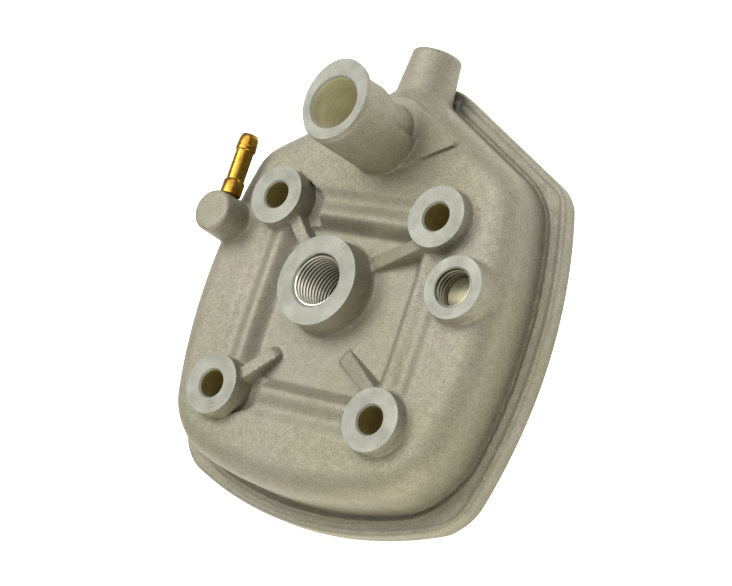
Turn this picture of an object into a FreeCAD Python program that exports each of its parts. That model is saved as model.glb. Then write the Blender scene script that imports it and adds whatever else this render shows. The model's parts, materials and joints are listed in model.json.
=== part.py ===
import FreeCAD, Part
import Sketcher
import math
import os

# Water-cooled cylinder head for a small single-cylinder engine, in millimetres.
# Z = 0 is the gasket plane, +Z points away from the cylinder, and the origin is the
# centre of the square of four stud holes. +Y points to the water outlets.

doc = FreeCAD.newDocument("cylinder_head")

SIZES = {
    # studs
    "stud_pitch": 52.0,            # side of the square of stud holes
    "stud_hole_dia": 7.2,          # clearance for an M7 stud
    "stud_boss_dia": 16.0,
    "column_dia": 17.0,            # the same boss where it runs through the water jacket
    "face_height": 25.0,           # machined stud faces above the gasket plane
    "edge_break": 0.5,             # small chamfer at the mouth of a hole
    # outline of the flange, seen along Z
    "half_width": 53.3,
    "side_radius": 130.0,          # the long sides bulge outwards
    "foot_reach": 53.3,            # from the origin to the -Y edge
    "foot_radius": 109.0,
    "nose_reach": 70.1,            # where the two sloping +Y edges would meet
    "nose_slope": 30.3,            # degrees from the X axis
    "nose_round": 16.0,
    "shoulder_corner": 12.0,
    "foot_corner": 13.0,
    "body_shoulder_corner": 16.8,  # the body wall turns its corners more gently
    "body_foot_corner": 19.0,
    # heights of the outside
    "flange_height": 4.5,
    "wall_inset": 5.5,             # from the flange edge to the body wall
    "rim_groove_width": 1.6,
    "rim_groove_depth": 0.6,
    "top_height": 21.0,            # cast top surface round the studs
    "top_round": 7.0,
    "pan_height": 17.5,            # sunk floor between the studs
    "pan_size": 45.0,
    "pan_corner": 7.0,
    "trough_size": 61.0,           # shallow channel just outside the pan
    "trough_width": 4.0,
    "trough_depth": 1.0,
    "pad_inset": 8.8,              # raised pad beside the outlet tower, from the flange edge
    "pad_height": 22.2,
    "pad_start_y": 34.6,
    "pad_slope": 26.6,             # degrees from the X axis, of the pad's -Y edges
    # webs from each stud boss into the pan
    "rib_width": 3.2,
    "rib_drop": 1.5,               # below the stud face, where it starts
    "rib_end_height": 18.4,        # at its blunt end
    "left_rib_length": 18.0,
    "left_rib_angle": 50.0,        # degrees from the X axis
    "right_rib_length": 20.5,
    "right_rib_angle": 23.0,
    "right_rib_shift": 5.3,        # from the stud's centre towards the X axis
    # spark plug
    "plug_offset_x": -3.4,
    "plug_offset_y": 5.2,
    "plug_face_height": 25.5,
    "plug_boss_dia": 23.8,
    "plug_core_dia": 12.8,         # drilled for M14 x 1.25
    "plug_mouth_dia": 15.0,
    # temperature sensor
    "sensor_x": 37.3,
    "sensor_y": 9.3,
    "sensor_boss_dia": 16.0,
    "sensor_core_dia": 8.8,        # drilled for M10 x 1.25
    "sensor_mouth_dia": 10.7,
    "sensor_floor": 19.0,          # where the full diameter of the blind hole ends
    "sensor_point": 2.6,           # depth of the drill point below that
    "sensor_cup_dia": 13.0,        # metal that hangs into the jacket round the drill point
    "sensor_cup_height": 14.0,
    # upright thermostat-side outlet
    "tower_y": 45.0,
    "tower_height": 44.5,
    "tower_foot_dia": 20.9,
    "tower_dia": 19.8,
    "tower_head_y": 46.4,          # the oval head overhangs the shaft towards +Y
    "tower_head_width": 18.9,
    "tower_head_length": 21.8,
    "tower_head_depth": 2.0,
    "tower_bore_y": 45.5,
    "tower_bore_dia": 13.4,
    "tower_bore_depth": 8.0,
    "tower_throat_dia": 12.9,      # below the turned bore
    # horizontal hose spigot
    "spigot_height": 11.5,
    "spigot_tip_y": 73.2,
    "spigot_dia": 13.6,
    "spigot_straight": 4.0,
    "spigot_root_dia": 16.9,
    "spigot_root_y": 55.0,
    "spigot_bore_dia": 10.0,
    # closed boss that carries the bleed barb
    "bleed_x": -41.6,
    "bleed_y": 18.0,
    "bleed_boss_dia": 11.6,
    "bleed_foot_dia": 12.6,
    "bleed_boss_height": 30.0,
    "bleed_round": 1.2,
    "bleed_drill_dia": 3.2,
    "barb_height": 25.0,
    "barb_seat_dia": 4.0,
    "barb_seat_depth": 5.0,
    # brass barb, lengths counted from the side of its boss
    "barb_collar_dia": 5.8,
    "barb_collar_length": 4.4,
    "barb_shank_dia": 4.9,
    "barb_head_start": 12.8,
    "barb_head_dia": 5.6,
    "barb_tip_dia": 4.6,
    "barb_length": 17.3,
    "barb_bore_dia": 2.4,
    # underside
    "jacket_inset": 10.0,          # from the flange edge to the inside of the jacket wall
    "jacket_height": 16.5,
    "chamber_wall_dia": 60.0,
    "squish_dia": 47.0,
    "squish_depth": 0.8,
    "dome_rim_dia": 32.0,
    "dome_depth": 8.0,
    # seals and their grooves
    "chamber_seal_mid_dia": 53.5,
    "chamber_seal_section": 2.0,
    "stud_seal_mid_dia": 11.0,
    "stud_seal_section": 1.5,
    "jacket_seal_inset": 3.9,
    "jacket_seal_width": 2.2,
    "jacket_seal_height": 2.0,
    "groove_play": 0.15,
}


def make_sheet(sizes):
    sheet = doc.addObject("Spreadsheet::Sheet", "sizes")
    for row, (name, value) in enumerate(sizes.items(), start=1):
        sheet.set("A%d" % row, name)
        sheet.set("B%d" % row, str(value))
        sheet.setAlias("B%d" % row, name)
    doc.recompute()
    return sheet


sheet = make_sheet(SIZES)
ALONG_Y = FreeCAD.Rotation(FreeCAD.Vector(1, 0, 0), -90)     # turns +Z to +Y
BIG = "200"                                                  # larger than the whole part


def in_sizes(expression):
    """Puts the sheet's name in front of every alias in an expression."""
    words = []
    word = ""
    for letter in expression + " ":
        if letter.isalnum() or letter == "_" or letter == ".":
            word += letter
            continue
        words.append("sizes." + word if word in SIZES else word)
        words.append(letter)
        word = ""
    return "".join(words).strip()


def value_of(expression):
    """The present value of an expression of aliases, worked out in a spare cell."""
    sheet.set("D1", "=" + expression)
    sheet.recompute()
    return float(sheet.get("D1"))


def bind(item, **properties):
    for name, expression in properties.items():
        item.setExpression(name, in_sizes(str(expression)))


def place(item, x="0", y="0", z="0", turn=None):
    if turn is not None:
        item.Placement = FreeCAD.Placement(FreeCAD.Vector(), turn)
    for axis, expression in (("x", x), ("y", y), ("z", z)):
        item.setExpression("Placement.Base." + axis, in_sizes(str(expression)))


def cylinder(name, dia, height, x="0", y="0", z="0", turn=None):
    item = doc.addObject("Part::Cylinder", name)
    bind(item, Radius="(%s) / 2" % dia, Height=height)
    place(item, x, y, z, turn)
    return item


def cone(name, dia_low, dia_high, height, x="0", y="0", z="0", turn=None):
    item = doc.addObject("Part::Cone", name)
    bind(item, Radius1="(%s) / 2" % dia_low, Radius2="(%s) / 2" % dia_high, Height=height)
    place(item, x, y, z, turn)
    return item


def fuse(name, shapes):
    item = doc.addObject("Part::MultiFuse", name)
    item.Shapes = shapes
    return item


def common(name, shapes):
    item = doc.addObject("Part::MultiCommon", name)
    item.Shapes = shapes
    return item


def cut(name, base, tools):
    item = doc.addObject("Part::Cut", name)
    item.Base = base
    item.Tool = tools[0] if len(tools) == 1 else fuse(name + "_tools", tools)
    return item


def fillet(name, base, radius_of):
    """Rounds each edge of base for which radius_of(edge) gives a radius."""
    doc.recompute()
    item = doc.addObject("Part::Fillet", name)
    item.Base = base
    chosen = []
    for number, edge in enumerate(base.Shape.Edges, start=1):
        radius = radius_of(edge)
        if radius:
            chosen.append((number, radius, radius))
    item.Edges = chosen
    return item


def is_upright(edge):
    box = edge.BoundBox
    return box.XLength < 1e-3 and box.YLength < 1e-3 and box.ZLength > 1


def corner_radius(inset, gentle):
    """Which of the outline's corner radii an upright edge takes."""
    shoulder = SIZES["shoulder_corner"] - inset / 2
    foot = SIZES["foot_corner"] - inset / 2
    if gentle:
        shoulder = SIZES["body_shoulder_corner"] + SIZES["wall_inset"] - inset
        foot = SIZES["body_foot_corner"] + SIZES["wall_inset"] - inset

    def radius_of(edge):
        if not is_upright(edge):
            return None
        middle = edge.BoundBox.Center
        if abs(middle.x) < 1:
            return SIZES["nose_round"] - inset
        return shoulder if middle.y > 0 else foot
    return radius_of


def sloping_box(name, slope, reach, height, z_low, side):
    """A large box whose far Y side passes through (0, reach) and slopes away from it."""
    box = doc.addObject("Part::Box", name)
    bind(box, Length=BIG, Width=BIG, Height=height)
    turn = FreeCAD.Rotation(FreeCAD.Vector(0, 0, 1), -side * slope)
    corner = turn.multVec(FreeCAD.Vector(-float(BIG) / 2, -float(BIG), 0))
    place(box, x=corner.x, y="%s + %.6f" % (reach, corner.y), z=z_low, turn=turn)
    return box


def plan_block(name, inset, z_low, z_high, gentle=False):
    """A block with the head's outline, moved inwards by inset (an expression)."""
    height = "(%s) - (%s)" % (z_high, z_low)
    parts = []
    for side, sign in (("right", 1), ("left", -1)):
        parts.append(cylinder(
            "%s_%s" % (name, side), "2 * (side_radius - (%s))" % inset, height,
            x="%d * (half_width - side_radius)" % sign, y="1", z=z_low))
    parts.append(cylinder(name + "_foot", "2 * (foot_radius - (%s))" % inset, height,
                          y="foot_radius - foot_reach", z=z_low))
    reach = "nose_reach - (%s) / %.6f" % (inset, math.cos(math.radians(SIZES["nose_slope"])))
    for side, sign in (("right", 1), ("left", -1)):
        parts.append(sloping_box("%s_nose_%s" % (name, side), SIZES["nose_slope"], reach,
                                 height, z_low, sign))
    block = common(name + "_sharp", parts)
    return fillet(name, block, corner_radius(value_of(inset), gentle))


def stud_places():
    for letter, sx, sy in (("a", -1, 1), ("b", 1, 1), ("c", -1, -1), ("d", 1, -1)):
        yield letter, "%d * stud_pitch / 2" % sx, "%d * stud_pitch / 2" % sy, sx, sy


def square_block(name, side, corner, z_low, z_high):
    box = doc.addObject("Part::Box", name + "_sharp")
    bind(box, Length=side, Width=side, Height="(%s) - (%s)" % (z_high, z_low))
    place(box, "-(%s) / 2" % side, "-(%s) / 2" % side, z_low)
    return fillet(name, box, lambda edge: corner if is_upright(edge) else None)


def outside_block():
    """The flange and the body wall with its rounded shoulder, pan and trough."""
    flange = plan_block("flange", "0", "0", "flange_height")
    body_sharp = plan_block("body", "wall_inset", "0", "top_height", gentle=True)

    def top_edge(edge):
        box = edge.BoundBox
        on_top = box.ZMin > SIZES["top_height"] - 1e-3
        return SIZES["top_round"] if on_top else None

    body = fillet("body_round", body_sharp, top_edge)
    groove = cut("rim_groove",
                 plan_block("rim_groove_out", "wall_inset - rim_groove_width",
                            "flange_height - rim_groove_depth", "flange_height + 1", gentle=True),
                 [plan_block("rim_groove_in", "wall_inset", "0", "top_height", gentle=True)])
    pan = square_block("pan", "pan_size", SIZES["pan_corner"], "pan_height", "top_height + 1")
    trough_low = "top_height - trough_depth"
    trough = cut("trough",
                 square_block("trough_out", "trough_size", SIZES["pan_corner"] * 2,
                              trough_low, "top_height + 1"),
                 [square_block("trough_in", "trough_size - 2 * trough_width",
                               SIZES["pan_corner"] * 1.5, trough_low + " - 1", "top_height + 2")])
    return cut("outside", fuse("outside_whole", [flange, body]), [groove, pan, trough])


def pad():
    """The low raised pad round the outlet tower, with sloping edges on its -Y side."""
    plate = plan_block("pad_plate", "pad_inset", "top_height - 2", "pad_height")
    below = [sloping_box("pad_edge_" + side, -SIZES["pad_slope"], "pad_start_y", BIG, "0", sign)
             for side, sign in (("right", 1), ("left", -1))]
    return cut("pad", plate, [fuse("pad_below", below)])


def rib(letter, sx, sy):
    """A web that falls from a stud boss into the pan."""
    side = "left" if sx < 0 else "right"
    angle = math.radians(SIZES[side + "_rib_angle"])
    item = doc.addObject("Part::Wedge", "rib_" + letter)
    bind(item, Xmin="-rib_width / 2", Xmax="rib_width / 2",
         X2min="-rib_width / 2", X2max="rib_width / 2",
         Ymin="0", Ymax=side + "_rib_length", Zmin="0",
         Zmax="face_height - rib_drop - pan_height + 1",
         Z2min="0", Z2max="rib_end_height - pan_height + 1")
    turn = FreeCAD.Rotation(FreeCAD.Vector(0, 1, 0),
                            FreeCAD.Vector(-sx * math.cos(angle), -sy * math.sin(angle), 0))
    shift = "right_rib_shift" if side == "right" else "0"
    place(item, "%d * stud_pitch / 2" % sx, "%d * (stud_pitch / 2 - %s)" % (sy, shift),
          "pan_height - 1", turn)
    return item


def bosses():
    """Everything that stands on the top surface."""
    shapes = []
    for letter, x, y, sx, sy in stud_places():
        shapes.append(cylinder("stud_boss_" + letter, "stud_boss_dia",
                               "face_height - pan_height + 1", x, y, "pan_height - 1"))
        shapes.append(rib(letter, sx, sy))
    shapes.append(cone("plug_boss", "plug_boss_dia + 1", "plug_boss_dia",
                       "plug_face_height - pan_height + 1",
                       "plug_offset_x", "plug_offset_y", "pan_height - 1"))
    shapes.append(cylinder("sensor_boss", "sensor_boss_dia", "face_height - jacket_height",
                           "sensor_x", "sensor_y", "jacket_height"))
    return shapes + [pad()] + tower()


def tower():
    """The upright outlet: a round shaft under an oval head."""
    shaft = cone("tower_shaft", "tower_foot_dia", "tower_dia",
                 "tower_height - tower_head_depth / 2 - jacket_height",
                 "0", "tower_y", "jacket_height")
    oval = doc.addObject("Part::Ellipse", "tower_oval")
    bind(oval, MajorRadius="tower_head_length / 2", MinorRadius="tower_head_width / 2")
    place(oval, "0", "tower_head_y", "tower_height - tower_head_depth",
          FreeCAD.Rotation(FreeCAD.Vector(0, 0, 1), 90))
    head = doc.addObject("Part::Extrusion", "tower_head")
    head.Base = oval
    head.DirMode = "Custom"
    head.Dir = FreeCAD.Vector(0, 0, 1)
    head.Solid = True
    bind(head, LengthFwd="tower_head_depth")
    return [shaft, head]


def spigot():
    straight = cylinder("spigot_straight", "spigot_dia", "spigot_straight",
                        "0", "spigot_tip_y - spigot_straight", "spigot_height", ALONG_Y)
    root = cone("spigot_root", "spigot_root_dia", "spigot_dia",
                "spigot_tip_y - spigot_straight - spigot_root_y",
                "0", "spigot_root_y", "spigot_height", ALONG_Y)
    return [straight, root]


def bleed_boss():
    post = cone("bleed_post", "bleed_foot_dia", "bleed_boss_dia",
                "bleed_boss_height - jacket_height + 3",
                "bleed_x", "bleed_y", "jacket_height - 3")

    def top_edge(edge):
        return SIZES["bleed_round"] if edge.BoundBox.ZMin > SIZES["bleed_boss_height"] - 0.01 else None

    return fillet("bleed_boss", post, top_edge)


def jacket():
    """The open water space: inside the wall, outside the chamber wall and stud columns."""
    space = plan_block("jacket_space", "jacket_inset", "-1", "jacket_height")
    cores = [cylinder("chamber_core", "chamber_wall_dia", BIG, z="-100"),
             cylinder("sensor_cup", "sensor_cup_dia", BIG, "sensor_x", "sensor_y",
                      "sensor_cup_height")]
    for letter, x, y, sx, sy in stud_places():
        cores.append(cylinder("column_" + letter, "column_dia", BIG, x, y, "-100"))
    return cut("jacket", space, cores)


def chamber():
    """The dome and the squish band under the spark plug."""
    dome = doc.addObject("Part::Sphere", "dome")
    bind(dome, Radius="(pow(dome_rim_dia / 2; 2) + pow(dome_depth; 2)) / (2 * dome_depth)")
    place(dome, z="dome_depth - (pow(dome_rim_dia / 2; 2) + pow(dome_depth; 2)) / (2 * dome_depth)")
    squish = cylinder("squish", "squish_dia", "squish_depth + 1", z="-1")
    return [dome, squish]


def holes():
    shapes = []
    for letter, x, y, sx, sy in stud_places():
        shapes.append(cylinder("stud_hole_" + letter, "stud_hole_dia", "face_height + 2", x, y, "-1"))
        shapes.append(cone("stud_mouth_" + letter, "stud_hole_dia", "stud_hole_dia + 2 * edge_break",
                           "edge_break", x, y, "face_height - edge_break"))
    shapes.append(cylinder("plug_core", "plug_core_dia", "plug_face_height + 1",
                           "plug_offset_x", "plug_offset_y", "0"))
    shapes.append(cone("plug_mouth", "plug_core_dia", "plug_mouth_dia",
                       "(plug_mouth_dia - plug_core_dia) / 2", "plug_offset_x", "plug_offset_y",
                       "plug_face_height - (plug_mouth_dia - plug_core_dia) / 2"))
    shapes.append(cylinder("sensor_core", "sensor_core_dia", "face_height",
                           "sensor_x", "sensor_y", "sensor_floor"))
    shapes.append(cone("sensor_drill_point", "0", "sensor_core_dia", "sensor_point",
                       "sensor_x", "sensor_y", "sensor_floor - sensor_point"))
    shapes.append(cone("sensor_mouth", "sensor_core_dia", "sensor_mouth_dia",
                       "(sensor_mouth_dia - sensor_core_dia) / 2", "sensor_x", "sensor_y",
                       "face_height - (sensor_mouth_dia - sensor_core_dia) / 2"))
    shapes.append(cylinder("tower_bore", "tower_bore_dia", "tower_bore_depth + 1",
                           "0", "tower_bore_y", "tower_height - tower_bore_depth"))
    shapes.append(cylinder("tower_throat", "tower_throat_dia", "tower_height - jacket_height",
                           "0", "tower_bore_y", "jacket_height - 2"))
    shapes.append(cylinder("spigot_bore", "spigot_bore_dia", "spigot_tip_y - spigot_root_y + 3",
                           "0", "spigot_root_y - 1", "spigot_height", ALONG_Y))
    shapes.append(cylinder("bleed_drill", "bleed_drill_dia", "barb_height - jacket_height + 2",
                           "bleed_x", "bleed_y", "jacket_height - 2"))
    shapes.append(cylinder("barb_seat", "barb_seat_dia", "barb_seat_depth + 2", "bleed_x",
                           "bleed_y + bleed_boss_dia / 2 + 0.1 - barb_seat_depth",
                           "barb_height", ALONG_Y))
    return shapes


def ring_groove(name, mid_dia, width, depth, x="0", y="0"):
    return cut(name,
               cylinder(name + "_out", "%s + %s" % (mid_dia, width), "%s + 1" % depth, x, y, "-1"),
               [cylinder(name + "_in", "%s - (%s)" % (mid_dia, width), "%s + 2" % depth,
                         x, y, "-2")])


def jacket_band(name, play, z_low, z_high):
    """A band that follows the outline; play widens it on both sides."""
    return cut(name,
               plan_block(name + "_out", "jacket_seal_inset - (%s)" % play, z_low, z_high),
               [plan_block(name + "_in", "jacket_seal_inset + jacket_seal_width + (%s)" % play,
                           "(%s) - 1" % z_low, "(%s) + 1" % z_high)])


def seal_grooves():
    shapes = [ring_groove("chamber_groove", "chamber_seal_mid_dia",
                          "chamber_seal_section + 2 * groove_play", "chamber_seal_section"),
              jacket_band("jacket_groove", "groove_play", "-1", "jacket_seal_height")]
    for letter, x, y, sx, sy in stud_places():
        shapes.append(ring_groove("stud_groove_" + letter, "stud_seal_mid_dia",
                                  "stud_seal_section + 2 * groove_play", "stud_seal_section", x, y))
    return shapes


def head_casting():
    solid = fuse("casting_solid", [outside_block()] + bosses() + spigot() + [bleed_boss()])
    hollow = cut("casting_hollow", solid, [jacket()])
    casting = cut("head_casting", hollow, holes() + chamber() + seal_grooves())
    casting.Label = "head_casting"
    return casting


def bleed_barb():
    """The pressed-in hose barb, turned from brass, as one revolved profile."""
    body = doc.addObject("PartDesign::Body", "bleed_barb")
    body.Label = "bleed_barb"
    sketch = body.newObject("Sketcher::SketchObject", "barb_profile")
    plane = [f for f in body.Origin.OriginFeatures if f.Role == "XY_Plane"][0]
    sketch.AttachmentSupport = (plane, "")
    sketch.MapMode = "FlatFace"
    # (radius, place along the axis), from the buried end to the tip
    profile = [("barb_bore_dia / 2", "-barb_seat_depth"),
               ("barb_seat_dia / 2", "-barb_seat_depth"),
               ("barb_seat_dia / 2", "0"),
               ("barb_collar_dia / 2", "0"),
               ("barb_collar_dia / 2", "barb_collar_length - 0.5"),
               ("barb_shank_dia / 2", "barb_collar_length"),
               ("barb_shank_dia / 2", "barb_head_start - 0.3"),
               ("barb_head_dia / 2", "barb_head_start"),
               ("barb_head_dia / 2", "barb_head_start + 0.8"),
               ("barb_tip_dia / 2", "barb_length"),
               ("barb_bore_dia / 2", "barb_length")]
    values = [(value_of(across), value_of(along)) for across, along in profile]
    points = [FreeCAD.Vector(r, along, 0) for r, along in values]
    lines = []
    for number, start in enumerate(points):
        lines.append(sketch.addGeometry(Part.LineSegment(start, points[(number + 1) % len(points)])))
    for number in range(len(points)):
        sketch.addConstraint(Sketcher.Constraint("Coincident", number, 2,
                                                 (number + 1) % len(points), 1))
    for number, (across, along) in enumerate(profile):
        for kind, amount, expression in (("DistanceX", values[number][0], across),
                                         ("DistanceY", values[number][1], along)):
            index = sketch.addConstraint(Sketcher.Constraint(kind, -1, 1, number, 1, amount))
            sketch.setExpression("Constraints[%d]" % index, in_sizes(expression))
    turned = body.newObject("PartDesign::Revolution", "barb_turned")
    turned.Profile = sketch
    turned.ReferenceAxis = (sketch, ["V_Axis"])
    turned.Angle = 360
    place(body, "bleed_x", "bleed_y + bleed_boss_dia / 2 + 0.1", "barb_height")
    return body


def torus_seal(name, mid_dia, section, x="0", y="0"):
    item = doc.addObject("Part::Torus", name)
    item.Label = name
    bind(item, Radius1="%s / 2" % mid_dia, Radius2="%s / 2" % section)
    place(item, x, y, "%s / 2" % section)
    return item


def seals():
    items = [torus_seal("chamber_o_ring", "chamber_seal_mid_dia", "chamber_seal_section")]
    jacket_seal = jacket_band("jacket_seal", "0", "0", "jacket_seal_height")
    jacket_seal.Label = "jacket_seal"
    items.append(jacket_seal)
    for letter, x, y, sx, sy in stud_places():
        items.append(torus_seal("stud_o_ring_" + letter, "stud_seal_mid_dia",
                                "stud_seal_section", x, y))
    return items


nodes = [head_casting(), bleed_barb()] + seals()
doc.recompute()

faults = [item.Label for item in doc.Objects if {"Invalid", "Error"} & set(item.State)]
faults += [node.Label for node in nodes if node.Shape.isNull() or not node.Shape.isValid()]
if faults:
    raise RuntimeError("these objects failed: " + ", ".join(faults))

os.makedirs("parts", exist_ok=True)
for node in nodes:
    shape = node.Shape
    print("%-16s solids %d  volume %.1f mm3  box %s" % (
        node.Label, len(shape.Solids), shape.Volume,
        ["%.1f" % v for v in (shape.BoundBox.XMin, shape.BoundBox.YMin, shape.BoundBox.ZMin,
                              shape.BoundBox.XMax, shape.BoundBox.YMax, shape.BoundBox.ZMax)]))
    shape.exportStep(os.path.join("parts", node.Label + ".step"))
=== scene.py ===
import json
import math

import bmesh
import bpy
import numpy as np
from mathutils import Matrix, Vector


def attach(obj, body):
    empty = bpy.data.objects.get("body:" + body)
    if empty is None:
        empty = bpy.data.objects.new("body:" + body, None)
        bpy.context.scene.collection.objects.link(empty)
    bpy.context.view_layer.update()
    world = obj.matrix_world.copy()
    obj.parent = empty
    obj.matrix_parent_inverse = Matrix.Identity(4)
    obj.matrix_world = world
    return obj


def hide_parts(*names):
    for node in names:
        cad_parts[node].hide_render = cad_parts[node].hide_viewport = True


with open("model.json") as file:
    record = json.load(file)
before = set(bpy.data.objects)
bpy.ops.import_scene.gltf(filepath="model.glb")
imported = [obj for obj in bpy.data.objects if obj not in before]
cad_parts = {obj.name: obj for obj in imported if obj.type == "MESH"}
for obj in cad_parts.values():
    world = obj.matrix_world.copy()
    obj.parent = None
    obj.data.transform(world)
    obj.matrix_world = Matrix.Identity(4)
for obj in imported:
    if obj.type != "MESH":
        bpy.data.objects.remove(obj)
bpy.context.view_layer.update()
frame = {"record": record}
record = frame["record"]

# ---------------------------------------------------------------------------------------------
# Sizes, in millimetres. Places of holes and ports come from the record's mounts.
# ---------------------------------------------------------------------------------------------
MM = 0.001
MOUNTS = {mount["name"]: mount for mount in record["mounts"]}


def mount_place(name):
    return [value / MM for value in MOUNTS[name]["pos_m"]]


def mount_size(name, key):
    return MOUNTS[name]["dims"][key]


HALF_PITCH = mount_size("stud_pattern", "spacing_x_mm") / 2
STUD_HOLE = mount_size("stud_pattern", "hole_r_mm")
STUDS = [(sx * HALF_PITCH, sy * HALF_PITCH) for sx in (-1, 1) for sy in (-1, 1)]
PLUG_X, PLUG_Y, _ = mount_place("spark_plug_thread")
PLUG_CORE = mount_size("spark_plug_thread", "r_mm")
SENSOR_X, SENSOR_Y, _ = mount_place("temp_sensor_thread")
SENSOR_CORE = mount_size("temp_sensor_thread", "r_mm")
_, OUTLET_Y, TOWER_TOP = mount_place("water_outlet")
OUTLET_R = mount_size("water_outlet", "r_mm")
OUTLET_LEDGE = TOWER_TOP - mount_size("water_outlet", "length_mm")
_, SPIGOT_TIP, SPIGOT_Z = mount_place("hose_spigot")
BLEED_X, _, BARB_Z = mount_place("bleed_hose_barb")

# outline of the flange and of the body wall, seen along Z
HALF_WIDTH, SIDE_RADIUS, SIDE_MIDDLE_Y = 53.3, 130.0, 1.0
FOOT_REACH, FOOT_RADIUS = 53.3, 109.0
NOSE_REACH, NOSE_SLOPE = 70.1, math.radians(30.3)
EDGE_BLENDS = (7.7, 2.8, 4.7)          # nose, shoulders, foot corners
WALL_BLENDS = (6.0, 4.9, 8.7)
WALL_INSET, WALL_NOSE_INSET = 5.5, 4.8
WALL_DRAFT = 0.02

# low ridges and dips of the flange, as (distance, half width, height)
FROM_EDGE = [(0.9, 1.4, 0.15), (2.5, 1.6, -0.25)]
FROM_WALL = [(1.7, 1.3, 0.3), (0.3, 1.5, -0.45)]

# heights
FLANGE_TOP = 4.5
TOP = 21.0
TOP_ROUND = 7.0
PAN_FLOOR = 17.5
STUD_FACE = 25.0
PLUG_FACE = 25.5
SENSOR_FACE = 25.0
BLEED_TOP = 30.0
OVER = 0.8                             # cast metal left above a face before it is cut

# the cast top, by distance from the middle of a rounded square
SQUARENESS = 7
PAN_EDGE, CREST = 19.8, 24.0
CREST_RISE, CREST_FALL = 0.2, (27, 31)
TROUGH, TROUGH_HALF_WIDTH, TROUGH_DEPTH = 28.0, 3.8, 1.15

# the pad beside the outlet
PAD_TOP, PAD_RISE = 22.2, (4, 15)      # it rises between these distances from the YZ plane
PAD_INSET = 8.8
PAD_BLENDS = (6.0, 1.5, 2.0)
PAD_START_Y, PAD_SLOPE, PAD_SLOPE_COS = 34.6, 0.5, 0.894

# the clearance beside the two left studs: its slanted side, far side and end
RELIEF_FLOOR, RELIEF_RISE, RELIEF_FADE = 18.4, 2.5, 7
RELIEF_NORMAL, RELIEF_SLANT, RELIEF_FAR, RELIEF_END = (0.48, 0.88), 8.2, 12.6, 5
RELIEF_CORNER = 3.0

# bosses
STUD_BOSS_R = 8.0
PLUG_BOSS_R = 11.9
SENSOR_BOSS_R = 8.0
SMALL_FACE_R, LARGE_FACE_R = 9.6, 14   # reach of the cutter that makes a face
SENSOR_FLOOR, SENSOR_POINT = 19.0, 2.6
SENSOR_CUP_R, SENSOR_CUP_Z = 6.5, 14.0
TOWER_Y, TOWER_R, TOWER_LEAN = 45.0, 9.9, 0.05
HEAD_Y, HEAD_HALF_X, HEAD_HALF_Y, HEAD_DEPTH = 46.4, 9.4, 10.8, 2.0
THROAT_R, THROAT_BOTTOM = 6.45, 14
CLEARANCE_R, CLEARANCE_Y, RECESS = 22.5, 46.0, 1.7
SPIGOT_R, SPIGOT_STRAIGHT_Y, SPIGOT_TAPER, SPIGOT_BORE = 6.75, 71.5, 0.085, 5.0
BLEED_Y, BLEED_R, BLEED_TOP_R = 18.0, 5.8, 5.65
BLEED_DRILL, BARB_SEAT = 1.6, 2.0
BARB_START = BLEED_Y + BLEED_R + 0.1

# threads and mouths
THREAD_PITCH = 1.25
PLUG_THREAD_DEPTH, SENSOR_THREAD_DEPTH = 0.75, 0.7
PLUG_MOUTH, SENSOR_MOUTH, MOUTH_DEPTH = PLUG_CORE + 0.95, SENSOR_CORE + 0.85, 0.45
EDGE_BREAK = 0.5                       # chamfer of a plain hole
PAST = 0.1                             # how far a cutter passes a face

# pockets in the flange beside the spigot
POCKET_X, POCKET_Z, POCKET_Y = 6.3, 5.2, 63.2
POCKET_R, POCKET_HALF_LENGTH = 1.2, 1.2

RIB_TOP, RIB_LEVEL = 22.6, 7           # a rib has this height at this distance from its start
RIB_HALF_WIDTH, RIB_FLARE, RIB_END_ROUND = 1.5, 0.08, 1.2
# (start x, start y, degrees from the X axis, length, fall per mm)
RIBS = [(-25.0, 27.0, -49.0, 19.0, 0.20), (26.0, 20.4, 200.0, 20.5, 0.30),
        (-22.9, -26.6, 56.0, 15.6, 0.36), (26.0, -21.4, 151.0, 21.5, 0.30)]

# underside
JACKET_INSET, JACKET_TOP = 10.0, 16.5
CHAMBER_WALL_R, COLUMN_R = 30.0, 8.5
SQUISH_R, SQUISH_DEPTH = 23.5, 0.8
DOME_R, DOME_DEPTH = 16.0, 8.0
CHAMBER_SEAL_R, CHAMBER_SEAL = 26.75, 2.0
STUD_SEAL_R, STUD_SEAL = 5.5, 1.5
JACKET_SEAL_INSET, JACKET_SEAL_WIDTH, JACKET_SEAL_DEPTH = 3.9, 2.2, 2.0
PLAY = 0.15

# the grid that the cast shape is sampled on, and its room round the part
VOXEL = 0.56
MARGIN, MARGIN_Z = 3, 4


# ---------------------------------------------------------------------------------------------
# The casting's shape, as a signed distance: negative inside the metal
# ---------------------------------------------------------------------------------------------
def round_max(a, b, radius):
    """The overlap of two shapes, with its outer corner rounded."""
    return np.minimum(np.maximum(a, b), -radius) + np.hypot(
        np.maximum(a + radius, 0), np.maximum(b + radius, 0))


def soft_min(a, b, width):
    """The union of two shapes, with a cast fillet where they meet."""
    near = np.maximum(width - np.abs(a - b), 0) / width
    return np.minimum(a, b) - near * near * near * width / 6


def soft_max(a, b, width):
    return -soft_min(-a, -b, width)


def ramp(value, low, high):
    """0 below low, 1 above high, smooth between."""
    part = np.clip((value - low) / (high - low), 0, 1)
    return part * part * (3 - 2 * part)


def bump(value, middle, width):
    """1 at middle, falling smoothly to 0 at middle - width and middle + width."""
    return 0.5 + 0.5 * np.cos(np.pi * np.clip((value - middle) / width, -1, 1))


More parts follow.
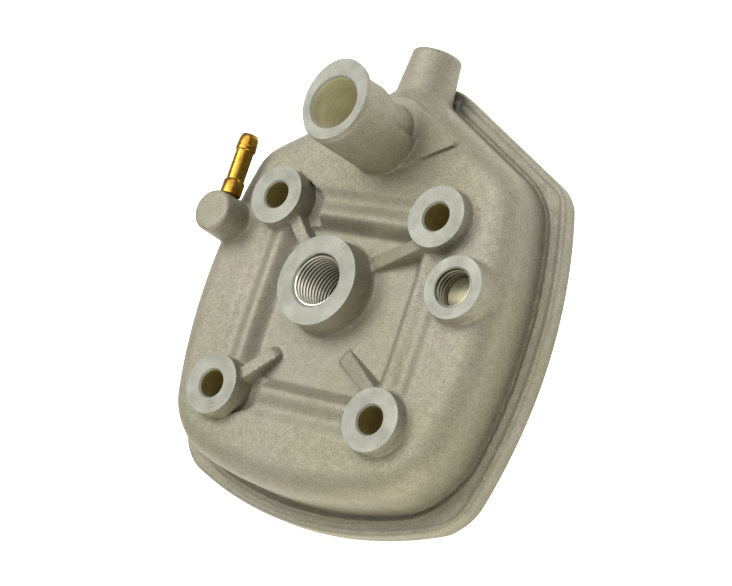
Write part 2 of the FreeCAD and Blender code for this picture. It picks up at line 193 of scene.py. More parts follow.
def outline(x, y, inset, nose_inset, blends):
    """Distance to the head's outline, seen along Z and moved inwards by the insets."""
    nose_blend, shoulder_blend, foot_blend = blends
    side = np.hypot(np.abs(x) + SIDE_RADIUS - HALF_WIDTH, y - SIDE_MIDDLE_Y) - SIDE_RADIUS + inset
    foot = np.hypot(x, y - FOOT_RADIUS + FOOT_REACH) - FOOT_RADIUS + inset
    across, along = math.sin(NOSE_SLOPE), math.cos(NOSE_SLOPE)
    level = (y - NOSE_REACH) * along + nose_inset
    nose = round_max(x * across + level, -x * across + level, nose_blend)
    return round_max(round_max(side, nose, shoulder_blend), foot, foot_blend)


def flange_edge(x, y):
    return outline(x, y, 0, 0, EDGE_BLENDS)


def post(x, y, z, cx, cy, radius, top, draft=0.03, round_off=0.4):
    """An upright round boss that widens slightly downwards."""
    wall = np.hypot(x - cx, y - cy) - radius - np.maximum(top - z, 0) * draft
    return round_max(wall, z - top, round_off)


def top_surface(x, y):
    """Height of the cast top: sunk pan, crest, shallow trough, then the flat shoulder."""
    square = (np.abs(x) ** SQUARENESS + np.abs(y) ** SQUARENESS) ** (1 / SQUARENESS)
    height = PAN_FLOOR + (TOP + CREST_RISE - PAN_FLOOR) * ramp(square, PAN_EDGE, CREST)
    height = height - TROUGH_DEPTH * bump(square, TROUGH, TROUGH_HALF_WIDTH)
    return height - CREST_RISE * ramp(square, *CREST_FALL)


def rib(x, y, z, start_x, start_y, degrees, length, fall):
    """A web that falls from a stud boss into the pan and ends bluntly."""
    ux, uy = math.cos(math.radians(degrees)), math.sin(math.radians(degrees))
    dx, dy = x - start_x, y - start_y
    along = dx * ux + dy * uy
    across = np.abs(dy * ux - dx * uy)
    top = RIB_TOP - (along - RIB_LEVEL) * fall
    sides = across - RIB_HALF_WIDTH - (STUD_FACE - z) * RIB_FLARE
    body = round_max(sides, (z - top) * 0.95, 0.35)
    body = round_max(body, along - length - (RIB_TOP - z) * 0.2, RIB_END_ROUND)
    return np.maximum(body, -along)


def relief(x, y):
    """The clearance beside the two left studs, as a distance seen along Z."""
    dx, dy = x + HALF_PITCH, HALF_PITCH - np.abs(y)
    slant = RELIEF_NORMAL[0] * dx - RELIEF_NORMAL[1] * dy - RELIEF_SLANT
    sides = round_max(slant, dx - RELIEF_FAR, RELIEF_CORNER)
    return np.maximum(np.maximum(sides, -dx), dy - RELIEF_END)


def relief_floor(x):
    """Height of the clearance's floor, which rises and fades out away from the pan."""
    return RELIEF_FLOOR + RELIEF_RISE * ramp(-x - HALF_PITCH, -RELIEF_FADE, 0)


def flange(x, y, z, edge, wall):
    """The flange with its bead, its inner ridge and the dips beside them."""
    height = FLANGE_TOP
    for middle, half_width, rise in FROM_EDGE:
        height = height + rise * bump(-edge, middle, half_width)
    for middle, half_width, rise in FROM_WALL:
        height = height + rise * bump(wall, middle, half_width)
    return round_max(edge, z - height, 0.8)


def tower(x, y, z):
    """The upright outlet: a round shaft that leans a little and steps in round the hose of
    the spigot below it, and an oval head."""
    middle = TOWER_Y + TOWER_LEAN * (TOWER_TOP - z)
    shaft = post(x, y, z, 0, middle, TOWER_R, TOWER_TOP - 1, 0.02)
    reach = np.sqrt(np.maximum(CLEARANCE_R ** 2 - x * x, 0))
    clearance = np.maximum(CLEARANCE_Y - y, z - SPIGOT_Z - reach)
    shaft = soft_min(soft_max(shaft, -clearance, 0.1), shaft + RECESS, 0.1)
    oval = (np.hypot(x / HEAD_HALF_X, (y - HEAD_Y) / HEAD_HALF_Y) - 1) * HEAD_HALF_X
    head = round_max(oval, z - TOWER_TOP - OVER, 0.3)
    head = round_max(head, TOWER_TOP - HEAD_DEPTH - z, 0.4)
    return soft_min(shaft, head, 0.9)


def spigot(x, y, z):
    wall = np.hypot(x, z - SPIGOT_Z) - SPIGOT_R
    wall = wall - np.maximum(SPIGOT_STRAIGHT_Y - y, 0) * SPIGOT_TAPER
    return np.maximum(round_max(wall, y - SPIGOT_TIP, 0.9), 50 - y)


def pad(x, y, z):
    """The low raised pad beside the tower, parallel to the nose."""
    rim = outline(x, y, PAD_INSET, PAD_INSET, PAD_BLENDS)
    below = (PAD_START_Y + PAD_SLOPE * np.abs(x) - y) * PAD_SLOPE_COS
    top = TOP + (PAD_TOP - TOP) * ramp(np.abs(x), *PAD_RISE)
    return round_max(round_max(rim, below, 2.3), z - top, 0.5)


def jacket(x, y, z):
    """The open water space: inside the wall, outside the chamber wall and the columns."""
    space = round_max(flange_edge(x, y) + JACKET_INSET, z - JACKET_TOP, 3.0)
    space = soft_max(space, CHAMBER_WALL_R - np.hypot(x, y), 2.0)
    for cx, cy in STUDS:
        space = soft_max(space, COLUMN_R - np.hypot(x - cx, y - cy), 2.0)
    cup = np.maximum(np.hypot(x - SENSOR_X, y - SENSOR_Y) - SENSOR_CUP_R, SENSOR_CUP_Z - z)
    return soft_max(space, -cup, 1.6)


def spigot_pockets(x, y, z):
    across = np.hypot(np.abs(x) - POCKET_X, z - POCKET_Z)
    return np.hypot(across, np.maximum(np.abs(y - POCKET_Y) - POCKET_HALF_LENGTH, 0)) - POCKET_R


def casting_distance(x, y, z):
    edge = flange_edge(x, y)
    wall = outline(x, y, WALL_INSET, WALL_NOSE_INSET, WALL_BLENDS)
    metal = round_max(wall + WALL_DRAFT * z, z - top_surface(x, y), TOP_ROUND)
    metal = soft_min(metal, pad(x, y, z), 0.6)
    metal = soft_max(metal, -np.maximum(relief(x, y), relief_floor(x) - z), 0.15)
    metal = soft_min(metal, flange(x, y, z, edge, wall), 1.7)
    for row in RIBS:
        metal = soft_min(metal, rib(x, y, z, *row), 0.9)
    for cx, cy in STUDS:
        boss = post(x, y, z, cx, cy, STUD_BOSS_R, STUD_FACE + OVER, 0.02)
        metal = soft_min(metal, boss, 0.7 if cx < 0 else 1.6)
    plug = post(x, y, z, PLUG_X, PLUG_Y, PLUG_BOSS_R, PLUG_FACE + OVER, 0.04)
    metal = soft_min(metal, plug, 2.0)
    sensor = post(x, y, z, SENSOR_X, SENSOR_Y, SENSOR_BOSS_R, SENSOR_FACE + OVER, 0.05)
    metal = soft_min(metal, sensor, 1.8)
    metal = soft_min(metal, tower(x, y, z), 1.1)
    metal = soft_min(metal, spigot(x, y, z), 1.4)
    bleed = post(x, y, z, BLEED_X, BLEED_Y, BLEED_TOP_R, BLEED_TOP, 0.04, 0.9)
    metal = soft_min(metal, np.maximum(bleed, 10 - z), 1.4)
    metal = soft_max(metal, -spigot_pockets(x, y, z), 0.5)
    metal = soft_max(metal, -jacket(x, y, z), 0.8)
    return np.maximum(metal, -1.5 - z)


# ---------------------------------------------------------------------------------------------
# Turning the distance into a mesh
# ---------------------------------------------------------------------------------------------
def surface_net(values, low, step):
    """Vertices and quads of the surface where a grid of values changes sign."""
    inside = values < 0
    cells = tuple(n - 1 for n in values.shape)
    total = np.zeros(cells + (3,), dtype=np.float32)
    count = np.zeros(cells, dtype=np.float32)
    span = [slice(0, -1), slice(1, None)]
    for axis in range(3):
        others = [a for a in range(3) if a != axis]
        for first in (0, 1):
            for second in (0, 1):
                near, far = [None] * 3, [None] * 3
                near[axis], far[axis] = span[0], span[1]
                near[others[0]] = far[others[0]] = span[first]
                near[others[1]] = far[others[1]] = span[second]
                a, b = values[tuple(near)], values[tuple(far)]
                crossing = (a < 0) != (b < 0)
                part = np.where(crossing, a / np.where(crossing, a - b, 1), 0)
                offset = [0.0, 0.0, 0.0]
                offset[others[0]], offset[others[1]] = first, second
                for k in range(3):
                    total[..., k] += np.where(crossing, part if k == axis else offset[k], 0)
                count += crossing
    active = count > 0
    number = np.full(cells, -1, dtype=np.int64)
    number[active] = np.arange(active.sum())
    corner = np.stack(np.nonzero(active), axis=1)
    points = (corner + total[active] / count[active][:, None]) * step + low

    quads = []
    for axis in range(3):
        u, v = (axis + 1) % 3, (axis + 2) % 3
        inner = [slice(1, -1)] * 3
        near, far = list(inner), list(inner)
        near[axis], far[axis] = slice(0, -1), slice(1, None)
        a, b = inside[tuple(near)], inside[tuple(far)]
        for flip, change in ((False, a & ~b), (True, ~a & b)):
            place = np.stack(np.nonzero(change), axis=1)
            place[:, u] += 1
            place[:, v] += 1
            ring = []
            for du, dv in ((0, 0), (1, 0), (1, 1), (0, 1)):
                cell = place.copy()
                cell[:, u] -= 1 - du
                cell[:, v] -= 1 - dv
                ring.append(number[cell[:, 0], cell[:, 1], cell[:, 2]])
            quads.append(np.stack(ring[::-1] if flip else ring, axis=1))
    return points, np.concatenate(quads)


def pull_to_surface(points, distance, rounds=3, reach=0.05):
    """Moves each point onto the surface along the distance's slope."""
    for _ in range(rounds):
        x, y, z = points.T
        here = distance(x, y, z)
        slope = np.stack([distance(x + reach, y, z) - distance(x - reach, y, z),
                          distance(x, y + reach, z) - distance(x, y - reach, z),
                          distance(x, y, z + reach) - distance(x, y, z - reach)], axis=1)
        slope = slope / (2 * reach)
        size = np.maximum((slope ** 2).sum(axis=1), 0.25)
        step = np.clip(here / size, -0.5, 0.5)
        points = points - slope * step[:, None]
    return points


def mesh_object(name, shapes):
    """An object from (points, faces) pairs in millimetres."""
    points, faces, start = [], [], 0
    for shape_points, shape_faces in shapes:
        points.append(np.asarray(shape_points, dtype=float))
        faces += [[int(corner) + start for corner in face] for face in shape_faces]
        start += len(shape_points)
    mesh = bpy.data.meshes.new(name)
    mesh.from_pydata((np.concatenate(points) * MM).tolist(), [], faces)
    mesh.validate()
    piece = bpy.data.objects.new(name, mesh)
    bpy.context.scene.collection.objects.link(piece)
    return piece


def cast_shape():
    """The casting before any machining, as an object."""
    low = np.array([-HALF_WIDTH - MARGIN, -FOOT_REACH - MARGIN, -MARGIN_Z])
    high = np.array([HALF_WIDTH + MARGIN, SPIGOT_TIP + MARGIN, TOWER_TOP + MARGIN_Z])
    axes = [np.arange(low[k], high[k], VOXEL, dtype=np.float32) for k in range(3)]
    x, y, z = np.meshgrid(*axes, indexing="ij")
    points, quads = surface_net(casting_distance(x, y, z), low, VOXEL)
    points = pull_to_surface(points, casting_distance)
    return mesh_object("head_casting_body", [(points, quads)])


# ---------------------------------------------------------------------------------------------
# Solids of revolution, threads and bands, as (points, faces)
# ---------------------------------------------------------------------------------------------
TO_Y = Matrix.Rotation(math.radians(-90), 3, "X")


def lathe(profile, centre, turn=None, segments=96, ring=False):
    """A solid turned about local Z. profile is (radius, height) from one end to the other;
    its ends are on the axis, unless ring joins the last point to the first."""
    points, faces, rows = [], [], []
    for radius, height in profile:
        if radius < 1e-6:
            rows.append([len(points)] * segments)
            points.append((0, 0, height))
            continue
        rows.append(list(range(len(points), len(points) + segments)))
        for k in range(segments):
            angle = 2 * math.pi * k / segments
            points.append((radius * math.cos(angle), radius * math.sin(angle), height))
    for low, high in list(zip(rows, rows[1:])) + ([(rows[-1], rows[0])] if ring else []):
        for k in range(segments):
            n = (k + 1) % segments
            face = list(dict.fromkeys((low[k], low[n], high[n], high[k])))
            if len(face) > 2:
                faces.append(face)
    points = np.array(points, dtype=float)
    if turn is not None:
        points = points @ np.array(turn).T
    return points + np.array(centre), faces


def thread(centre, core_r, depth, pitch, low, high, floor=None, segments=72, steps=8):
    """A threaded hole's space, whose rows of points follow the helix. floor is the height of a
    drill point, if the hole has one."""
    rows = int(round((high - low) / pitch)) * steps
    k = np.arange(segments + 1)
    angles = 2 * np.pi * k / segments
    turns = np.arange(rows + 1)[:, None] / steps + k / segments
    heights = low + turns * pitch
    wave = np.abs((np.arange(rows + 1)[:, None] / steps % 1.0) * 2 - 1)
    run_out = np.clip(turns - 1, 0, 1)
    radius = core_r + np.clip(wave * 1.25 - 0.1, 0, 1) * depth * run_out
    grid = np.stack([radius * np.cos(angles), radius * np.sin(angles), heights], axis=2)
    number = np.arange((rows + 1) * segments).reshape(rows + 1, segments)
    points = grid[:, :segments].reshape(-1, 3)
    # the last column of a row is the first column of the row one turn up
    top = len(points) + np.arange(steps)
    points = np.vstack([points, grid[rows - steps + 1:, segments]])
    seam = np.concatenate([number[steps:, 0], top])
    number = np.column_stack([number, seam[:rows + 1]])
    faces = []
    for row in range(rows):
        for c in range(segments):
            faces.append([number[row, c], number[row, c + 1],
                          number[row + 1, c + 1], number[row + 1, c]])
    bottom_point, top_point = len(points), len(points) + 1
    points = np.vstack([points, [[0, 0, low if floor is None else floor], [0, 0, high + pitch]]])
    bottom_loop = list(number[0, :segments]) + list(number[steps:0:-1, 0])
    top_loop = list(number[rows, :segments]) + list(number[rows:rows - steps:-1, segments])
    for loop, tip in ((bottom_loop, bottom_point), (top_loop, top_point)):
        for here, after in zip(loop, loop[1:] + loop[:1]):
            faces.append([here, after, tip])
    return points + np.array(centre), faces


def outline_loop(inset, count=360):
    """Points on the flange outline moved inwards by inset, found along rays from the middle."""
    angles = 2 * np.pi * np.arange(count) / count
    near, far = np.full(count, 20.0), np.full(count, 90.0)
    for _ in range(40):
        middle = (near + far) / 2
        outside = flange_edge(middle * np.cos(angles), middle * np.sin(angles)) > -inset
        near, far = np.where(outside, near, middle), np.where(outside, middle, far)
    return np.stack([near * np.cos(angles), near * np.sin(angles)], axis=1)


def band(outer_inset, inner_inset, low, high):
    """A closed band that follows the outline."""
    loops = [np.column_stack([outline_loop(inset), np.full(360, height)])
             for inset, height in ((outer_inset, low), (outer_inset, high),
                                   (inner_inset, high), (inner_inset, low))]
    faces = []
    for row in range(4):
        for k in range(360):
            n = (k + 1) % 360
            a, b = row * 360, (row + 1) % 4 * 360
            faces.append([a + k, a + n, b + n, b + k])
    return np.concatenate(loops), faces


def face_cut(x, y, height, radius):
    """The space above a machined face."""
    return lathe([(0, height), (radius, height), (radius, height + 3), (0, height + 3)], (x, y, 0))


def groove(x, y, middle, section):
    """The space of a seal's groove in the gasket face."""
    inner, outer = middle - section / 2 - PLAY, middle + section / 2 + PLAY
    return lathe([(inner, -1), (outer, -1), (outer, section), (inner, section)],
                 (x, y, 0), ring=True)


def chamber():
    """The squish band and the dome, as one turned space."""
    radius = (DOME_R ** 2 + DOME_DEPTH ** 2) / (2 * DOME_DEPTH)
    profile = [(0, -1), (SQUISH_R, -1), (SQUISH_R, SQUISH_DEPTH)]
    for k in range(25):
        height = SQUISH_DEPTH + (DOME_DEPTH - SQUISH_DEPTH) * k / 24
        across = radius ** 2 - (height - DOME_DEPTH + radius) ** 2
        profile.append((math.sqrt(max(across, 0)) if k < 24 else 0, height))
    return lathe(profile, (0, 0, 0), segments=128)


def repair_normals(piece):
    shape = bmesh.new()
    shape.from_mesh(piece.data)
    bmesh.ops.recalc_face_normals(shape, faces=shape.faces)
    shape.to_mesh(piece.data)
    shape.free()


def cut_away(piece, shapes):
    """Takes closed shapes from the piece, all in one cut."""
    cutter = mesh_object("cutter", shapes)
    repair_normals(cutter)
    modifier = piece.modifiers.new("cut", "BOOLEAN")
    modifier.operation = "DIFFERENCE"
    modifier.solver = "MANIFOLD"
    modifier.object = cutter
    depsgraph = bpy.context.evaluated_depsgraph_get()
    mesh = bpy.data.meshes.new_from_object(piece.evaluated_get(depsgraph))
    piece.modifiers.clear()
    piece.data = mesh
    bpy.data.objects.remove(cutter)


def machine(casting):
    """Cuts every machined face, hole and groove into the cast shape."""
    below = lathe([(0, -20), (200, -20), (200, 0), (0, 0)], (0, 0, 0), segments=32)
    cut_away(casting, [below, face_cut(PLUG_X, PLUG_Y, PLUG_FACE, LARGE_FACE_R),
                       face_cut(SENSOR_X, SENSOR_Y, SENSOR_FACE, SMALL_FACE_R),
                       face_cut(0, OUTLET_Y, TOWER_TOP, LARGE_FACE_R)]
             + [face_cut(x, y, STUD_FACE, SMALL_FACE_R) for x, y in STUDS])
    stud_hole = [(0, -5), (STUD_HOLE, -5), (STUD_HOLE, STUD_FACE - EDGE_BREAK),
                 (STUD_HOLE + EDGE_BREAK, STUD_FACE + PAST), (0, STUD_FACE + PAST)]
    outlet = lathe([(0, THROAT_BOTTOM), (THROAT_R, THROAT_BOTTOM),
                    (THROAT_R, OUTLET_LEDGE), (OUTLET_R, OUTLET_LEDGE + 0.9),
                    (OUTLET_R, TOWER_TOP - 0.4), (OUTLET_R + EDGE_BREAK, TOWER_TOP + PAST),
                    (0, TOWER_TOP + PAST)], (0, OUTLET_Y, 0))
    cut_away(casting, [lathe(stud_hole, (x, y, 0), segments=64) for x, y in STUDS] + [
        outlet,
        thread((PLUG_X, PLUG_Y, 0), PLUG_CORE, PLUG_THREAD_DEPTH, THREAD_PITCH, 1.0,
               PLUG_FACE + 1),
        thread((SENSOR_X, SENSOR_Y, 0), SENSOR_CORE, SENSOR_THREAD_DEPTH, THREAD_PITCH,
               SENSOR_FLOOR, SENSOR_FACE + 1, SENSOR_FLOOR - SENSOR_POINT),
        lathe([(0, 0), (BARB_SEAT, 0), (BARB_SEAT, 12), (0, 12)],
              (BLEED_X, BARB_START - 5, BARB_Z), TO_Y, 32),
        lathe([(0, 0), (SPIGOT_BORE, 0), (SPIGOT_BORE, 30), (0, 30)],
              (0, OUTLET_Y + 6, SPIGOT_Z), TO_Y, 64)])
    mouths = [lathe([(0, face - MOUTH_DEPTH), (mouth - MOUTH_DEPTH, face - MOUTH_DEPTH),
                     (mouth, face), (mouth, face + 1), (0, face + 1)], (cx, cy, 0))
              for cx, cy, face, mouth in ((PLUG_X, PLUG_Y, PLUG_FACE, PLUG_MOUTH),
                                          (SENSOR_X, SENSOR_Y, SENSOR_FACE, SENSOR_MOUTH))]
    cut_away(casting, mouths + [
        chamber(), groove(0, 0, CHAMBER_SEAL_R, CHAMBER_SEAL),
        band(JACKET_SEAL_INSET - PLAY, JACKET_SEAL_INSET + JACKET_SEAL_WIDTH + PLAY,
             -1, JACKET_SEAL_DEPTH),
        lathe([(0, JACKET_TOP - 3), (BLEED_DRILL, JACKET_TOP - 3), (BLEED_DRILL, BARB_Z + 1),
               (0, BARB_Z + 1)], (BLEED_X, BLEED_Y, 0), None, 32)]
        + [groove(x, y, STUD_SEAL_R, STUD_SEAL) for x, y in STUDS])


# ---------------------------------------------------------------------------------------------
# Materials
# ---------------------------------------------------------------------------------------------
CAST_TONES = (0.245, 0.229, 0.178, 1), (0.230, 0.220, 0.155, 1)
BRASS_TONES = (0.19, 0.10, 0.013, 1), (0.33, 0.185, 0.03, 1)
RUBBER_TONES = (0.018, 0.018, 0.019, 1), (0.035, 0.034, 0.032, 1)
FACE_TONE = (0.218, 0.219, 0.184, 1)
BORE_TONE = (0.60, 0.52, 0.25, 1)
OUTLET_TONE = (0.74, 0.71, 0.52, 1)
THREAD_TONE = (0.78, 0.74, 0.60, 1)
SENSOR_TONE = (0.31, 0.29, 0.19, 1)


class Surface:
    """A material's node tree, with places in millimetres."""

    def __init__(self, name, metallic, roughness):
        self.material = bpy.data.materials.new(name)
        self.material.use_nodes = True
        self.tree = self.material.node_tree
        self.shader = self.tree.nodes["Principled BSDF"]
        self.shader.inputs["Metallic"].default_value = metallic
        self.shader.inputs["Roughness"].default_value = roughness
        coords = self.tree.nodes.new("ShaderNodeTexCoord")
        self.place = self.vector("SCALE", coords.outputs["Object"], Scale=1 / MM)
        self.xyz = self.tree.nodes.new("ShaderNodeSeparateXYZ")
        self.tree.links.new(self.place, self.xyz.inputs[0])

    def feed(self, socket, value):
        if isinstance(value, bpy.types.NodeSocket):
            self.tree.links.new(value, socket)
        else:
            socket.default_value = value

    def vector(self, operation, a, b=None, **named):
        node = self.tree.nodes.new("ShaderNodeVectorMath")
        node.operation = operation
        self.feed(node.inputs[0], a)
        if b is not None:
            self.feed(node.inputs[1], b)
        for name, value in named.items():
            self.feed(node.inputs[name], value)
        return node.outputs["Value" if operation in ("LENGTH", "DOT_PRODUCT") else "Vector"]

    def math(self, operation, a, b=0.0):
        node = self.tree.nodes.new("ShaderNodeMath")
        node.operation = operation
        self.feed(node.inputs[0], a)
        self.feed(node.inputs[1], b)
        return node.outputs[0]

    def noise(self, scale, detail=2.0, roughness=0.5, place=None):
        """Noise with features about 1 / scale millimetres wide."""
        node = self.tree.nodes.new("ShaderNodeTexNoise")
        self.feed(node.inputs["Vector"], place or self.place)
        node.inputs["Scale"].default_value = scale
        node.inputs["Detail"].default_value = detail
        node.inputs["Roughness"].default_value = roughness
        return node.outputs["Fac"]

    def spread(self, value, low, high, to_low=0.0, to_high=1.0):
        node = self.tree.nodes.new("ShaderNodeMapRange")
        self.feed(node.inputs["Value"], value)
        for name, number in (("From Min", low), ("From Max", high),
                             ("To Min", to_low), ("To Max", to_high)):
            node.inputs[name].default_value = number
        return node.outputs["Result"]

    def blend(self, factor, a, b, kind="MIX"):
        node = self.tree.nodes.new("ShaderNodeMix")
        node.data_type = "RGBA"
        node.blend_type = kind
        self.feed(node.inputs[0], factor)
        self.feed(node.inputs[6], a)
        self.feed(node.inputs[7], b)
        return node.outputs[2]

    def bumps(self, *layers):
        """Adds height layers, each (height value, distance in millimetres)."""
        normal = None
        for height, distance in layers:
            node = self.tree.nodes.new("ShaderNodeBump")
            node.inputs["Distance"].default_value = distance * MM
            self.tree.links.new(height, node.inputs["Height"])
            if normal is not None:
                self.tree.links.new(normal, node.inputs["Normal"])
            normal = node.outputs["Normal"]
        self.tree.links.new(normal, self.shader.inputs["Normal"])

    def colour(self, value):
        self.feed(self.shader.inputs["Base Color"], value)

    def rough(self, value):
        self.feed(self.shader.inputs["Roughness"], value)


def cast_material():
    """Bead-blasted cast aluminium: fine grain, slow changes of tone, a few dark pits."""
    surface = Surface("cast_aluminium", 0.55, 0.6)
    patches = surface.spread(surface.noise(0.035, 2.0), 0.38, 0.62)
    tone = surface.blend(patches, *CAST_TONES)
    clouds = surface.spread(surface.noise(0.35, 3.0), 0.3, 0.7, 0.93, 1.06)
    grain = surface.noise(3.6, 3.0, 0.75)
    speck = surface.spread(grain, 0.32, 0.68, 0.62, 1.36)
    pits = surface.spread(surface.noise(1.1, 2.0, 0.6), 0.70, 0.74, 1.0, 0.45)
    shade = surface.math("MULTIPLY", surface.math("MULTIPLY", clouds, speck), pits)
    surface.colour(surface.blend(1.0, tone, shade, "MULTIPLY"))
    surface.rough(surface.spread(surface.noise(0.8, 2.0), 0.3, 0.7, 0.54, 0.68))
    surface.bumps((surface.noise(0.9, 3.0), 0.07), (surface.noise(4.2, 2.0, 0.6), 0.10))
    return surface.material


def turned_material(name, base, roughness, x=0.0, y=0.0, mirrored=False, pitch=0.28, metallic=0.35,
                    root=None):
    """Turned aluminium with rings round an upright axis, a few specks and slight stains.
    root is the radius beyond which the colour is darkened as painted shade in a thread's valleys."""
    surface = Surface(name, metallic, roughness)
    dx, dy = surface.xyz.outputs["X"], surface.xyz.outputs["Y"]
    if mirrored:
        dx, dy = surface.math("ABSOLUTE", dx), surface.math("ABSOLUTE", dy)
    dx, dy = surface.math("SUBTRACT", dx, x), surface.math("SUBTRACT", dy, y)
    square = surface.math("ADD", surface.math("MULTIPLY", dx, dx), surface.math("MULTIPLY", dy, dy))
    across = surface.math("SQRT", square)
    flat = surface.tree.nodes.new("ShaderNodeCombineXYZ")
    surface.tree.links.new(across, flat.inputs[0])
    surface.tree.links.new(surface.xyz.outputs["Z"], flat.inputs[2])
    rings = surface.noise(1 / pitch, 2.0, 0.6, flat.outputs[0])
    stains = surface.spread(surface.noise(0.22, 3.0), 0.3, 0.7, 0.88, 1.08)
    lines = surface.spread(rings, 0.3, 0.7, 0.88, 1.10)
    specks = surface.spread(surface.noise(1.5, 2.0, 0.6), 0.69, 0.73, 1.0, 0.4)
    shade = surface.math("MULTIPLY", surface.math("MULTIPLY", stains, lines), specks)
    if root is not None:
        # painted shade: the colour falls to 5% from root outwards, so the thread's valleys look
        # shaded
        painted_valley_shade = surface.spread(across, root, root + 0.35, 1.0, 0.05)
        shade = surface.math("MULTIPLY", shade, painted_valley_shade)
    surface.colour(surface.blend(1.0, base, shade, "MULTIPLY"))
    surface.rough(surface.spread(stains, 0.88, 1.08, roughness + 0.08, roughness - 0.05))
    surface.bumps((rings, 0.03), (surface.noise(2.5, 2.0), 0.03))
    return surface.material


def brass_material():
    """Turned brass, dull and stained."""
    surface = Surface("brass", 1.0, 0.3)
    stains = surface.spread(surface.noise(0.5, 3.0), 0.3, 0.7)
    surface.colour(surface.blend(stains, *BRASS_TONES))
    flat = surface.tree.nodes.new("ShaderNodeCombineXYZ")
    surface.tree.links.new(surface.xyz.outputs["Y"], flat.inputs[1])
    rings = surface.noise(2.5, 2.0, 0.6, flat.outputs[0])
    surface.rough(surface.spread(rings, 0.3, 0.7, 0.22, 0.36))
    surface.bumps((rings, 0.003), (surface.noise(1.5, 2.0), 0.03))
    return surface.material


def rubber_material():
    surface = Surface("seal_rubber", 0.0, 0.6)
    dust = surface.spread(surface.noise(0.8, 3.0), 0.35, 0.75)
    surface.colour(surface.blend(dust, *RUBBER_TONES))
    surface.rough(surface.spread(surface.noise(2.0, 2.0), 0.3, 0.7, 0.5, 0.7))
    surface.bumps((surface.noise(3.0, 2.0), 0.03))
    return surface.material


# the casting's material slots
(CAST, STUD_FINISH, PLUG_FINISH, SENSOR_FINISH, OUTLET_FINISH, GASKET_FINISH,
 BORE, PLUG_THREAD, SENSOR_THREAD, OUTLET_BORE) = range(10)
TOUCH = 0.02                           # how near to a face or bore counts as on it


def dress_casting(casting):
    """Gives each polygon of the casting the finish of the tool that made it."""
    mesh = casting.data
    mesh.materials.clear()
    for material in (
            cast_material(),
            turned_material("stud_face", FACE_TONE, 0.55, HALF_PITCH, HALF_PITCH, mirrored=True),
            turned_material("plug_face", FACE_TONE, 0.55, PLUG_X, PLUG_Y),
            turned_material("sensor_face", FACE_TONE, 0.55, SENSOR_X, SENSOR_Y),
            turned_material("outlet_face", FACE_TONE, 0.55, 0.0, OUTLET_Y),
            turned_material("chamber_and_gasket_face", FACE_TONE, 0.5, pitch=0.6),
            turned_material("bore", BORE_TONE, 0.35, HALF_PITCH, HALF_PITCH, mirrored=True,
                            metallic=0.85),
            turned_material("plug_thread", THREAD_TONE, 0.35, PLUG_X, PLUG_Y, pitch=2.0,
                            metallic=0.8, root=PLUG_CORE + 0.1),
            turned_material("sensor_thread", SENSOR_TONE, 0.4, SENSOR_X, SENSOR_Y, pitch=2.0,
                            metallic=0.7, root=SENSOR_CORE + 0.1),
            turned_material("outlet_bore", OUTLET_TONE, 0.4, 0.0, OUTLET_Y, pitch=0.9,
                            metallic=0.6)):
        mesh.materials.append(material)
    count = len(mesh.polygons)
    middle, normal = np.empty(count * 3), np.empty(count * 3)
    mesh.polygons.foreach_get("center", middle)
    mesh.polygons.foreach_get("normal", normal)
    x, y, z = middle.reshape(-1, 3).T / MM
    up = normal.reshape(-1, 3)[:, 2]
    slot = np.full(count, CAST, dtype=np.int32)

    def near(cx, cy, radius):
        return np.hypot(x - cx, y - cy) < radius

    def on_face(height):
        return (np.abs(z - height) < TOUCH) & (up > 0.9)

    def in_hole(cx, cy, radius, low, high):
        return near(cx, cy, radius) & (z > low) & (z < high - TOUCH)

    slot[(z < TOUCH) & (up < -0.9)] = GASKET_FINISH
    slot[(z < DOME_DEPTH + 0.1) & near(0, 0, SQUISH_R + 0.05)] = GASKET_FINISH
    chamfer = STUD_FACE - 0.45
    for cx, cy in STUDS:
        slot[on_face(STUD_FACE) & near(cx, cy, SMALL_FACE_R)] = STUD_FINISH
        slot[near(cx, cy, STUD_HOLE + TOUCH) & (z > TOUCH) & (z < chamfer)] = BORE
        slot[in_hole(cx, cy, STUD_HOLE + 0.6, chamfer, STUD_FACE)] = STUD_FINISH
    slot[on_face(PLUG_FACE) & near(PLUG_X, PLUG_Y, LARGE_FACE_R)] = PLUG_FINISH
    slot[on_face(SENSOR_FACE) & near(SENSOR_X, SENSOR_Y, SMALL_FACE_R)] = SENSOR_FINISH
    slot[on_face(TOWER_TOP)] = OUTLET_FINISH
    slot[in_hole(PLUG_X, PLUG_Y, PLUG_MOUTH, DOME_DEPTH - 3.5, PLUG_FACE)] = PLUG_FINISH
    slot[(slot == PLUG_FINISH) & (z < PLUG_FACE - MOUTH_DEPTH + TOUCH)] = PLUG_THREAD
    slot[in_hole(SENSOR_X, SENSOR_Y, SENSOR_MOUTH, SENSOR_FLOOR - SENSOR_POINT - 0.1,
                 SENSOR_FACE)] = SENSOR_FINISH
    slot[(slot == SENSOR_FINISH) & (z < SENSOR_FACE - MOUTH_DEPTH + TOUCH)] = SENSOR_THREAD
    chamfer = TOWER_TOP - 0.35
    slot[near(0, OUTLET_Y, OUTLET_R + TOUCH) & (z > JACKET_TOP) & (z < chamfer)] = OUTLET_BORE
    slot[in_hole(0, OUTLET_Y, OUTLET_R + EDGE_BREAK, chamfer, TOWER_TOP)] = OUTLET_FINISH
    slot[(y > SPIGOT_TIP - 12) & (np.hypot(x, z - SPIGOT_Z) < SPIGOT_BORE + TOUCH)] = BORE
    mesh.polygons.foreach_set("material_index", slot)
    casting.data.shade_smooth()
    casting.data.set_sharp_from_angle(angle=math.radians(35))


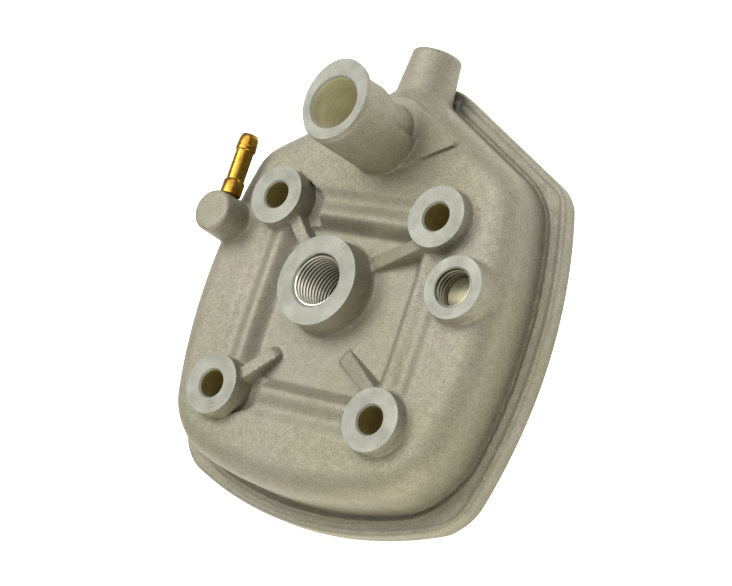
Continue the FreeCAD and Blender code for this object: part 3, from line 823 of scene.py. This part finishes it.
# ---------------------------------------------------------------------------------------------
# The brass barb and the seals
# ---------------------------------------------------------------------------------------------
def bleed_barb():
    """The barb, turned from (radius, distance from the boss), out along Y and back."""
    profile = [(1.2, -5.0), (1.98, -5.0), (1.98, 0.0), (2.7, 0.0), (2.88, 0.2), (2.88, 3.6),
               (2.6, 4.1), (2.45, 4.3), (2.45, 12.5), (2.62, 12.55), (2.78, 12.75), (2.78, 13.6),
               (2.66, 13.68), (2.66, 13.82), (2.74, 13.9), (2.58, 16.1), (2.42, 16.6),
               (2.1, 17.2), (1.7, 17.3), (1.2, 17.3)]
    barb = mesh_object("bleed_barb_turned",
                       [lathe(profile, (BLEED_X, BARB_START, BARB_Z), TO_Y, 64, ring=True)])
    repair_normals(barb)
    barb.data.materials.append(brass_material())
    barb.data.shade_smooth()
    barb.data.set_sharp_from_angle(angle=math.radians(35))
    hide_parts("bleed_barb")
    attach(barb, "root")


def dress_seals():
    rubber = rubber_material()
    for name in ["chamber_o_ring", "jacket_seal"] + ["stud_o_ring_" + letter for letter in "abcd"]:
        for slot in bpy.data.objects[name].material_slots:
            slot.material = rubber


# ---------------------------------------------------------------------------------------------
# Studio
# ---------------------------------------------------------------------------------------------
FLOOR_SIDE, FLOOR_DROP = 2500, -0.1
LIGHTS = [  # name, place in metres, size in metres, watts, tint
    ("key", (-0.42, 0.2, 0.95), 0.7, 10.5, (1, 1, 0.98)),
    ("top", (0.15, 0.45, 0.9), 0.9, 6.5, (1, 1, 1)),
    ("fill", (0.25, -0.72, 0.12), 0.4, 4.0, (1, 0.96, 0.78)),
]

CAMERA_PLACE, CAMERA_AIM = (289.28, -76.28, 366.41), (12.91, 4.20, 25.0)
CAMERA_ROLL, CAMERA_LENS = 59.10, 89.88


def studio():
    side, drop = FLOOR_SIDE, FLOOR_DROP
    floor = mesh_object("floor", [([(-side, -side, drop), (side, -side, drop), (side, side, drop),
                                    (-side, side, drop)], [(0, 1, 2, 3)])])
    surface = Surface("floor", 0.0, 0.9)
    surface.colour((0.78, 0.78, 0.78, 1))
    surface.shader.inputs["Emission Color"].default_value = (1.0, 0.99, 0.90, 1)
    # the table is lit from below, except under the head
    surface.feed(surface.shader.inputs["Emission Strength"],
                 surface.spread(surface.vector("LENGTH", surface.place), 46, 56, 0.0, 0.8))
    floor.data.materials.append(surface.material)
    world = bpy.data.worlds.new("studio")
    bpy.context.scene.world = world
    world.use_nodes = True
    background = world.node_tree.nodes["Background"]
    background.inputs["Color"].default_value = (1, 1, 1, 1)
    background.inputs["Strength"].default_value = 0.42
    for name, place, size, power, tint in LIGHTS:
        data = bpy.data.lights.new(name, "AREA")
        data.shape = "DISK"
        data.size = size
        data.energy = power
        data.color = tint
        lamp = bpy.data.objects.new(name, data)
        lamp.location = place
        lamp.rotation_euler = Vector(place).to_track_quat("Z", "Y").to_euler()
        bpy.context.scene.collection.objects.link(lamp)


def camera():
    place, aim = Vector(CAMERA_PLACE) * MM, Vector(CAMERA_AIM) * MM
    roll = math.radians(CAMERA_ROLL)
    back = (place - aim).normalized()
    level_up = (Vector((0, 0, 1)) - back * back.z).normalized()
    level_right = level_up.cross(back)
    up = level_up * math.cos(roll) + level_right * math.sin(roll)
    right = up.cross(back)
    turn = Matrix((right, up, back)).transposed()
    data = bpy.data.cameras.new("camera")
    data.lens = CAMERA_LENS
    data.sensor_width = 36
    data.clip_start = 0.01
    view = bpy.data.objects.new("camera", data)
    view.matrix_world = Matrix.Translation(place) @ turn.to_4x4()
    bpy.context.scene.collection.objects.link(view)
    bpy.context.scene.camera = view


casting = cast_shape()
machine(casting)
dress_casting(casting)
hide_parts("head_casting")
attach(casting, "root")
bleed_barb()
dress_seals()
studio()
camera()
bpy.context.scene.view_settings.view_transform = "Standard"
